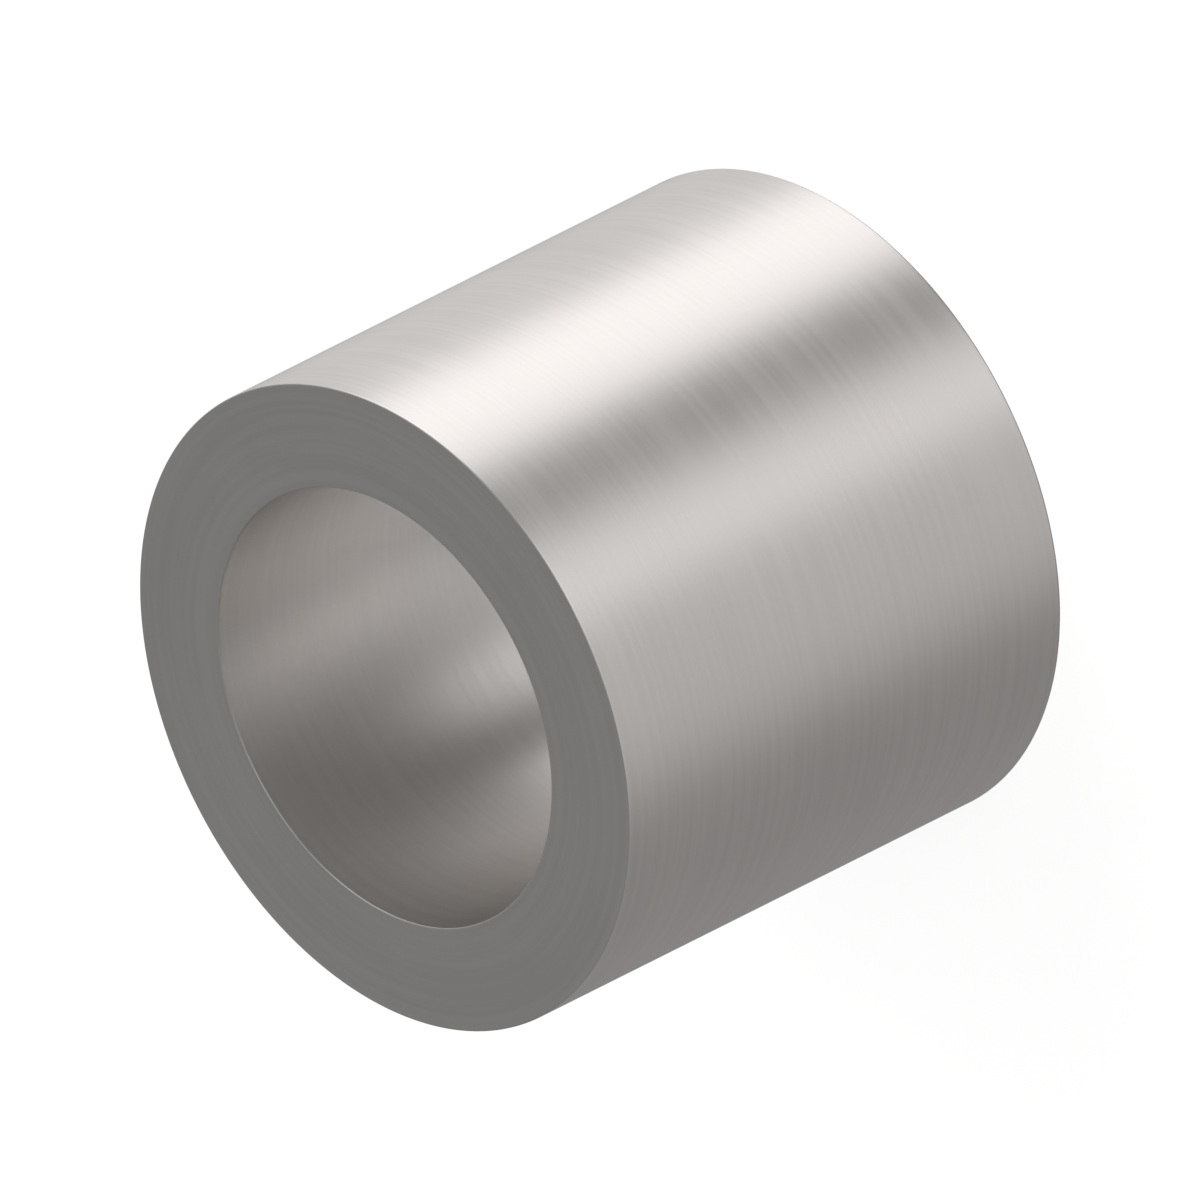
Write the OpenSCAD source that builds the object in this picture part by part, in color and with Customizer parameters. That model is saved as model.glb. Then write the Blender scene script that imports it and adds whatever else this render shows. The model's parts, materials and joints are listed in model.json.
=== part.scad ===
// Plain spacer sleeve, turned from steel bar: a thick-walled tube that slips over a bolt or a
// shaft and holds the parts on either side of it a fixed distance apart.
// It stands on one end face. The origin is the centre of that face and the bore runs along +Z.

/* [Sleeve] */
// Bore diameter, a close fit over a bolt with a 16 mm thread
bore_d = 17; // [6:0.5:60]
// Wall thickness between the bore and the outside
wall = 4; // [2:0.5:15]
// Length from one end face to the other, the distance that the sleeve keeps
length = 22; // [4:0.5:120]

/* [Edges] */
// Edge break round the outside of each end face, measured along the face
outer_break = 0.1; // [0.05:0.05:0.5]
// Edge break at each mouth of the bore, measured along the face
bore_break = 0.1; // [0.05:0.05:0.5]

/* [Hidden] */
// Segments of a full turn, fine enough for the round to look smooth
$fn = 180;
bore_r = bore_d / 2;
outer_r = bore_r + wall;
steel = [0.68, 0.67, 0.66];

// Half section of the sleeve, to the right of its axis: the bore wall on the left, the outside
// on the right and an end face above and below, with each corner cut off at 45 degrees
module half_section() {
    polygon([
        [bore_r + bore_break, 0],
        [outer_r - outer_break, 0],
        [outer_r, outer_break],
        [outer_r, length - outer_break],
        [outer_r - outer_break, length],
        [bore_r + bore_break, length],
        [bore_r, length - bore_break],
        [bore_r, bore_break],
    ]);
}

// The whole sleeve, one turned piece
module sleeve() {
    color(steel) rotate_extrude() half_section();
}

sleeve();
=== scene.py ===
# Spacer sleeve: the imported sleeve, dressed as a turned steel part on a pale studio floor
import json
import math
import bmesh
import bpy
from mathutils import Matrix, Vector


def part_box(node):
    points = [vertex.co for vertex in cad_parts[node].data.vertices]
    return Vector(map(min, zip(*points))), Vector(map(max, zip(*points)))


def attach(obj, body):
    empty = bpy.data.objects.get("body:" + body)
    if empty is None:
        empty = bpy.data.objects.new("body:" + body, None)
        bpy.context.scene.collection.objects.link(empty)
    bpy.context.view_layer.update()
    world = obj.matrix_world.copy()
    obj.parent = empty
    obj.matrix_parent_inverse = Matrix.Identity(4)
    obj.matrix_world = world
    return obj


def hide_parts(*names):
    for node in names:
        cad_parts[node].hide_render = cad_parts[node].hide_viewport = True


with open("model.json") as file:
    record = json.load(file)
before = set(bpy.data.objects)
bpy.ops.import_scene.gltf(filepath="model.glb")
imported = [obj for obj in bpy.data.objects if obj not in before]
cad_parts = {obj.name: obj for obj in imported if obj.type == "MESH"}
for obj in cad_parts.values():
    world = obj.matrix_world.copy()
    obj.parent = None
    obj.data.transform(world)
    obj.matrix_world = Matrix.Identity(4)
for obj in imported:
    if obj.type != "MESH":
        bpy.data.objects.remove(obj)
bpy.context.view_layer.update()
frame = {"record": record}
scene = bpy.context.scene
mm = 0.001

lowCorner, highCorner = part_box("sleeve")
boreMount = next(m for m in frame["record"]["mounts"] if m["name"] == "bore")
steelSlot = frame["record"]["materials"][0]

photoView = {
    "turn": 45,  # degrees from square on to the near end face, round towards the side
    "rise": 30,  # degrees above the axis, which the photo lays level
    "pictureWidth": 43.3 * mm,  # what the square picture spans, with no perspective
    "distance": 200 * mm,  # only has to be clear of the sleeve
    "clipStart": 1 * mm,
}


def aimCamera(view, target):
    # The photo lays the sleeve down with +X up; here it stands, and the camera is rolled instead
    turn, rise = math.radians(view["turn"]), math.radians(view["rise"])
    level = Vector((0, -math.sin(turn), math.cos(turn)))
    back = level * math.cos(rise) + Vector((math.sin(rise), 0, 0))
    up = Vector((math.cos(rise), 0, 0)) - level * math.sin(rise)
    lens = bpy.data.cameras.new("photoCamera")
    lens.type = "ORTHO"
    lens.ortho_scale = view["pictureWidth"]
    lens.clip_start = view["clipStart"]
    camera = bpy.data.objects.new("photoCamera", lens)
    scene.collection.objects.link(camera)
    axes = Matrix((up.cross(back), up, back)).transposed()
    camera.matrix_world = Matrix.Translation(target + back * view["distance"]) @ axes.to_4x4()
    scene.camera = camera


aimCamera(photoView, (lowCorner + highCorner) / 2)
scene.view_settings.view_transform = "Standard"
print("camera placed")


def feed(tree, socket, value):
    # A plain number is set on the socket, and another node's output is linked to it
    if isinstance(value, (int, float)):
        socket.default_value = value
    else:
        tree.links.new(value, socket)


def joinMath(tree, operation, first, second):
    node = tree.nodes.new("ShaderNodeMath")
    node.operation = operation
    feed(tree, node.inputs[0], first)
    feed(tree, node.inputs[1], second)
    return node.outputs[0]


def joinVectors(tree, operation, vector, other=(0, 0, 0)):
    node = tree.nodes.new("ShaderNodeVectorMath")
    node.operation = operation
    node.inputs[1].default_value = other
    tree.links.new(vector, node.inputs[0])
    return node.outputs["Value" if operation in ("DOT_PRODUCT", "LENGTH") else "Vector"]


def softStep(tree, value, fromRange, toRange):
    node = tree.nodes.new("ShaderNodeMapRange")
    node.interpolation_type = "SMOOTHSTEP"
    ends = ("From Min", "From Max", "To Min", "To Max")
    for end, number in zip(ends, (*fromRange, *toRange)):
        node.inputs[end].default_value = number
    tree.links.new(value, node.inputs["Value"])
    return node.outputs[0]


def addShaders(tree, first, second):
    node = tree.nodes.new("ShaderNodeAddShader")
    tree.links.new(first, node.inputs[0])
    tree.links.new(second, node.inputs[1])
    return node.outputs[0]


def mixShaders(tree, share, first, second):
    node = tree.nodes.new("ShaderNodeMixShader")
    for socket, value in zip(node.inputs, (share, first, second)):
        tree.links.new(value, socket)
    return node.outputs[0]


studio = {
    "panels": [  # upright soft panels; azimuth from +X towards +Y, widths in degrees either side
        {"azimuth": 29.5, "core": 17, "edge": 28, "level": 1.21},
        {"azimuth": 82, "core": 24, "edge": 37, "level": 0.41},
        {"azimuth": -38, "core": 5, "edge": 22, "level": 0.62},
        {"azimuth": -75, "core": 5, "edge": 55, "level": 0.355},
    ],
    "wall": 0.292,  # level of the wall between the panels
    "wallTint": (1.0, 0.973, 0.96),
    "fades": [  # degrees above the horizon, and the share of wall and panels at either end
        {"height": (-60, -37), "share": (0, 1)},
        {"height": (-35, 5), "share": (1, 0.8)},
        {"height": (5, 25), "share": (1, 0.31)},
    ],
    "ceiling": 0.14,
    "ceilingHeight": (5, 25),  # degrees above the horizon over which it sets in
    "ceilingTint": (1.0, 1.03, 1.02),
    "background": 1.0,  # what the camera sees behind the sleeve
}


def heightStep(tree, height, degrees, share):
    return softStep(tree, height, [math.sin(math.radians(end)) for end in degrees], share)


def addBackground(tree, tint, strength):
    node = tree.nodes.new("ShaderNodeBackground")
    node.inputs["Color"].default_value = (*tint, 1)
    feed(tree, node.inputs["Strength"], strength)
    return node.outputs[0]


def makePanels(tree, direction, settings):
    # Only the compass part of the direction counts, so the panels stand upright
    compass = joinVectors(tree, "NORMALIZE", joinVectors(tree, "MULTIPLY", direction, (1, 1, 0)))
    total = settings["wall"]
    for panel in settings["panels"]:
        angle = math.radians(panel["azimuth"])
        facing = joinVectors(tree, "DOT_PRODUCT", compass, (math.cos(angle), math.sin(angle), 0))
        width = [math.cos(math.radians(panel[end])) for end in ("edge", "core")]
        total = joinMath(tree, "ADD", softStep(tree, facing, width, (0, panel["level"])), total)
    return total


def makeStudio(settings):
    world = bpy.data.worlds.new("softStudio")
    world.use_nodes = True
    scene.world = world
    tree = world.node_tree
    tree.nodes.clear()
    direction = tree.nodes.new("ShaderNodeTexCoord").outputs["Generated"]
    parts = tree.nodes.new("ShaderNodeSeparateXYZ")
    tree.links.new(direction, parts.inputs[0])
    height = parts.outputs["Z"]
    walls = makePanels(tree, direction, settings)
    for fade in settings["fades"]:
        share = heightStep(tree, height, fade["height"], fade["share"])
        walls = joinMath(tree, "MULTIPLY", walls, share)
    ceiling = heightStep(tree, height, settings["ceilingHeight"], (0, settings["ceiling"]))
    room = addShaders(
        tree,
        addBackground(tree, settings["wallTint"], walls),
        addBackground(tree, settings["ceilingTint"], ceiling),
    )
    behind = addBackground(tree, (1, 1, 1), settings["background"])
    ray = tree.nodes.new("ShaderNodeLightPath")
    out = tree.nodes.new("ShaderNodeOutputWorld")
    tree.links.new(mixShaders(tree, ray.outputs["Is Camera Ray"], room, behind), out.inputs["Surface"])


makeStudio(studio)
print("studio lit")


def newMaterial(name):
    material = bpy.data.materials.new(name)
    material.use_nodes = True
    material.node_tree.nodes.clear()
    return material


def newObject(name, bm, material):
    mesh = bpy.data.meshes.new(name)
    bm.to_mesh(mesh)
    bm.free()
    mesh.materials.append(material)
    piece = bpy.data.objects.new(name, mesh)
    scene.collection.objects.link(piece)
    return piece


paleFloor = {
    "radius": 1.0,
    "rimPoints": 64,
    "paint": 0.9,  # takes the studio's light and the sleeve's shadow
    "glow": 0.755,  # for the camera alone, what that light leaves short of white
}


def makePaint(settings):
    paint = newMaterial("palePaint")
    tree = paint.node_tree
    matt = tree.nodes.new("ShaderNodeBsdfDiffuse")
    matt.inputs["Color"].default_value = (*[settings["paint"]] * 3, 1)
    glow = tree.nodes.new("ShaderNodeEmission")
    ray = tree.nodes.new("ShaderNodeLightPath")
    lit = joinMath(tree, "MULTIPLY", ray.outputs["Is Camera Ray"], settings["glow"])
    tree.links.new(lit, glow.inputs["Strength"])
    topSide = addShaders(tree, matt.outputs[0], glow.outputs[0])
    clear = tree.nodes.new("ShaderNodeBsdfTransparent")  # from below, the sleeve shows through
    geometry = tree.nodes.new("ShaderNodeNewGeometry")
    shown = mixShaders(tree, geometry.outputs["Backfacing"], topSide, clear.outputs[0])
    out = tree.nodes.new("ShaderNodeOutputMaterial")
    tree.links.new(shown, out.inputs["Surface"])
    return paint


def makeFloor(settings):
    bm = bmesh.new()
    bmesh.ops.create_circle(bm, cap_ends=True, radius=settings["radius"], segments=settings["rimPoints"])
    floor = newObject("paleFloor", bm, makePaint(settings))
    floor.visible_glossy = False  # the steel mirrors the studio, below the horizon too
    floor.visible_shadow = False  # and is lit from there


makeFloor(paleFloor)
print("floor laid")

turnedSteel = {
    "colour": steelSlot["base_color"],
    "colourSwing": 0.035,  # share by which marks and clouds lighten and darken it
    "roughness": (0.335, 0.365),  # between the marks and on them
    "noiseSpan": (0.3, 0.7),  # the part of a noise's range that is stretched to full contrast
    "markPitch": 0.25 * mm,  # feed of the lathe tool
    "markDrift": 15 * mm,  # how far round the sleeve a mark keeps its depth
    "markDepth": 0.0007 * mm,
    "markDetail": 1.5,
    "cloudSize": 5 * mm,  # faint patches left by wiping and handling
    "cloudDetail": 2,
    "cloudShare": 0.3,  # how much of the swing the clouds take, and the marks the rest
}


def makeNoise(tree, where, scale, detail, span):
    noise = tree.nodes.new("ShaderNodeTexNoise")
    noise.inputs["Scale"].default_value = scale
    noise.inputs["Detail"].default_value = detail
    tree.links.new(where, noise.inputs["Vector"])
    return softStep(tree, noise.outputs[0], span, (0, 1))


def layLatheLines(tree, place, settings):
    # Radius plus height runs along the section, so it rings the sides and the end faces alike
    parts = tree.nodes.new("ShaderNodeSeparateXYZ")
    tree.links.new(place, parts.inputs[0])
    radius = joinVectors(tree, "LENGTH", joinVectors(tree, "MULTIPLY", place, (1, 1, 0)))
    along = joinMath(tree, "ADD", radius, parts.outputs["Z"])
    distances = (along, parts.outputs["X"], parts.outputs["Y"])
    units = (settings["markPitch"], settings["markDrift"], settings["markDrift"])
    lines = tree.nodes.new("ShaderNodeCombineXYZ")
    for socket, distance, unit in zip(lines.inputs, distances, units):
        tree.links.new(joinMath(tree, "DIVIDE", distance, unit), socket)
    return lines.outputs[0]


def makeSteel(settings):
    steel = newMaterial("turnedSteel")
    tree = steel.node_tree
    place = tree.nodes.new("ShaderNodeTexCoord").outputs["Object"]
    lines = layLatheLines(tree, place, settings)
    span, share, swing = settings["noiseSpan"], settings["cloudShare"], settings["colourSwing"]
    marks = makeNoise(tree, lines, 1, settings["markDetail"], span)
    clouds = makeNoise(tree, place, 1 / settings["cloudSize"], settings["cloudDetail"], span)
    both = joinMath(
        tree,
        "ADD",
        joinMath(tree, "MULTIPLY", marks, 1 - share),
        joinMath(tree, "MULTIPLY", clouds, share),
    )
    tone = tree.nodes.new("ShaderNodeMix")
    tone.data_type = "RGBA"
    tone.inputs["A"].default_value = (*[c * (1 - swing) for c in settings["colour"]], 1)
    tone.inputs["B"].default_value = (*[c * (1 + swing) for c in settings["colour"]], 1)
    tree.links.new(both, tone.inputs["Factor"])
    grooves = tree.nodes.new("ShaderNodeBump")
    grooves.inputs["Strength"].default_value = 1
    grooves.inputs["Distance"].default_value = settings["markDepth"]
    tree.links.new(marks, grooves.inputs["Height"])

    surface = tree.nodes.new("ShaderNodeBsdfPrincipled")
    surface.inputs["Metallic"].default_value = 1
    tree.links.new(tone.outputs["Result"], surface.inputs["Base Color"])
    tree.links.new(softStep(tree, both, (0, 1), settings["roughness"]), surface.inputs["Roughness"])
    tree.links.new(grooves.outputs[0], surface.inputs["Normal"])
    out = tree.nodes.new("ShaderNodeOutputMaterial")
    tree.links.new(surface.outputs[0], out.inputs["Surface"])
    return steel


turnedSleeve = {
    "outerRadius": (highCorner.x - lowCorner.x) / 2,
    "boreRadius": boreMount["dims"]["r_mm"] * mm,
    "foot": lowCorner.z,
    "top": highCorner.z,
    "edgeBreak": 0.05 * mm,  # how far each corner is rounded off along either side
    "edgeFaces": 4,
    "edgeGuard": 0.03 * mm,  # narrow band beside it, which keeps the flats flat
    "sideBands": 16,  # bands along the outside and the bore
    "facesRound": 288,
}


def drawSection(bm, settings):
    inner, outer = settings["boreRadius"], settings["outerRadius"]
    foot, top = settings["foot"], settings["top"]
    corners = [Vector((x, 0, z)) for x, z in ((inner, foot), (outer, foot), (outer, top), (inner, top))]
    guard = settings["edgeBreak"] + settings["edgeGuard"]
    outline = []  # each corner, with a guard point either side
    for i, corner in enumerate(corners):
        before, after = corners[i - 1], corners[(i + 1) % len(corners)]
        outline.append(bm.verts.new(corner + (before - corner).normalized() * guard))
        outline.append(bm.verts.new(corner))
        outline.append(bm.verts.new(corner + (after - corner).normalized() * guard))
    for i, vert in enumerate(outline):
        bm.edges.new((outline[i - 1], vert))
    bmesh.ops.bevel(
        bm,
        geom=outline[1::3],
        offset=settings["edgeBreak"],
        segments=settings["edgeFaces"],
        profile=0.5,
        affect="VERTICES",
        material=-1,
    )
    walls = [e for e in bm.edges if abs(e.verts[0].co.z - e.verts[1].co.z) > (top - foot) / 2]
    bmesh.ops.subdivide_edges(bm, edges=walls, cuts=settings["sideBands"] - 1)


def sortFaces(bm):
    bm.verts.index_update()
    count = len(bm.verts)

    def rank(face):
        points = [vert.index for vert in face.verts]
        return min(points) * count + max(points)

    bm.faces.sort(key=rank)


def makeSleeve(settings):
    bm = bmesh.new()
    drawSection(bm, settings)
    bmesh.ops.spin(
        bm,
        geom=bm.verts[:] + bm.edges[:],
        cent=(0, 0, 0),
        axis=(0, 0, 1),
        dvec=(0, 0, 0),
        angle=math.tau,
        steps=settings["facesRound"],
        use_merge=True,
    )
    bmesh.ops.recalc_face_normals(bm, faces=bm.faces)
    sortFaces(bm)  # they come out of the spin in an order that changes from run to run
    for face in bm.faces:
        face.smooth = True
    piece = newObject("turnedSleeve", bm, makeSteel(turnedSteel))
    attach(piece, "root")
    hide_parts("sleeve")
    return piece


sleevePiece = makeSleeve(turnedSleeve)
print("sleeve turned:", len(sleevePiece.data.polygons), "faces")
